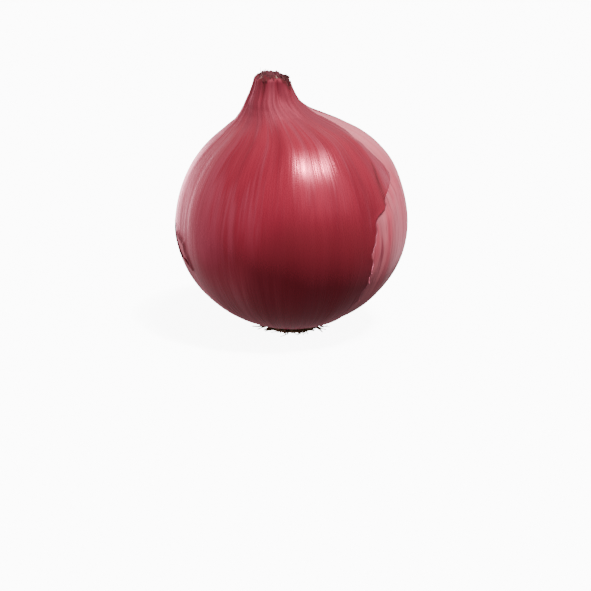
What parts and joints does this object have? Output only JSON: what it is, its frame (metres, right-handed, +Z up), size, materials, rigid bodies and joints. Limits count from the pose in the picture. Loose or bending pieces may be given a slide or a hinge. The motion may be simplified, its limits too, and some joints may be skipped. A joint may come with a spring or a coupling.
{
  "type": "red onion",
  "caption": "Whole red onion standing on its root plate, with torn dry outer skin and a short ragged neck of nested dry sheaths.",
  "frame": {"origin": "middle of the flat underside of the root plate, on the surface that the onion stands on", "axes": "+Z up through the bulb towards the neck, -Y the front as pictured, +X to the right of it"},
  "size_m": [0.0781, 0.0796, 0.0892],
  "materials": {
    "inner_skin": "smooth, slightly glossy fleshy scale under a thin pink-red skin",
    "dry_skin": "dry, thin, glossy red-maroon papery skin with fine lengthwise veins",
    "dry_sheath": "dull dried leaf sheath, dusty pink to brown",
    "cork": "rough, dry, corky root plate and root stubs"
  },
  "bodies": {
    "root": {"bulb": "inner_skin", "outer_skin": "dry_skin", "neck_sheath_1": "dry_sheath", "neck_sheath_2": "dry_sheath", "root_plate": "cork"}
  },
  "joints": []
}
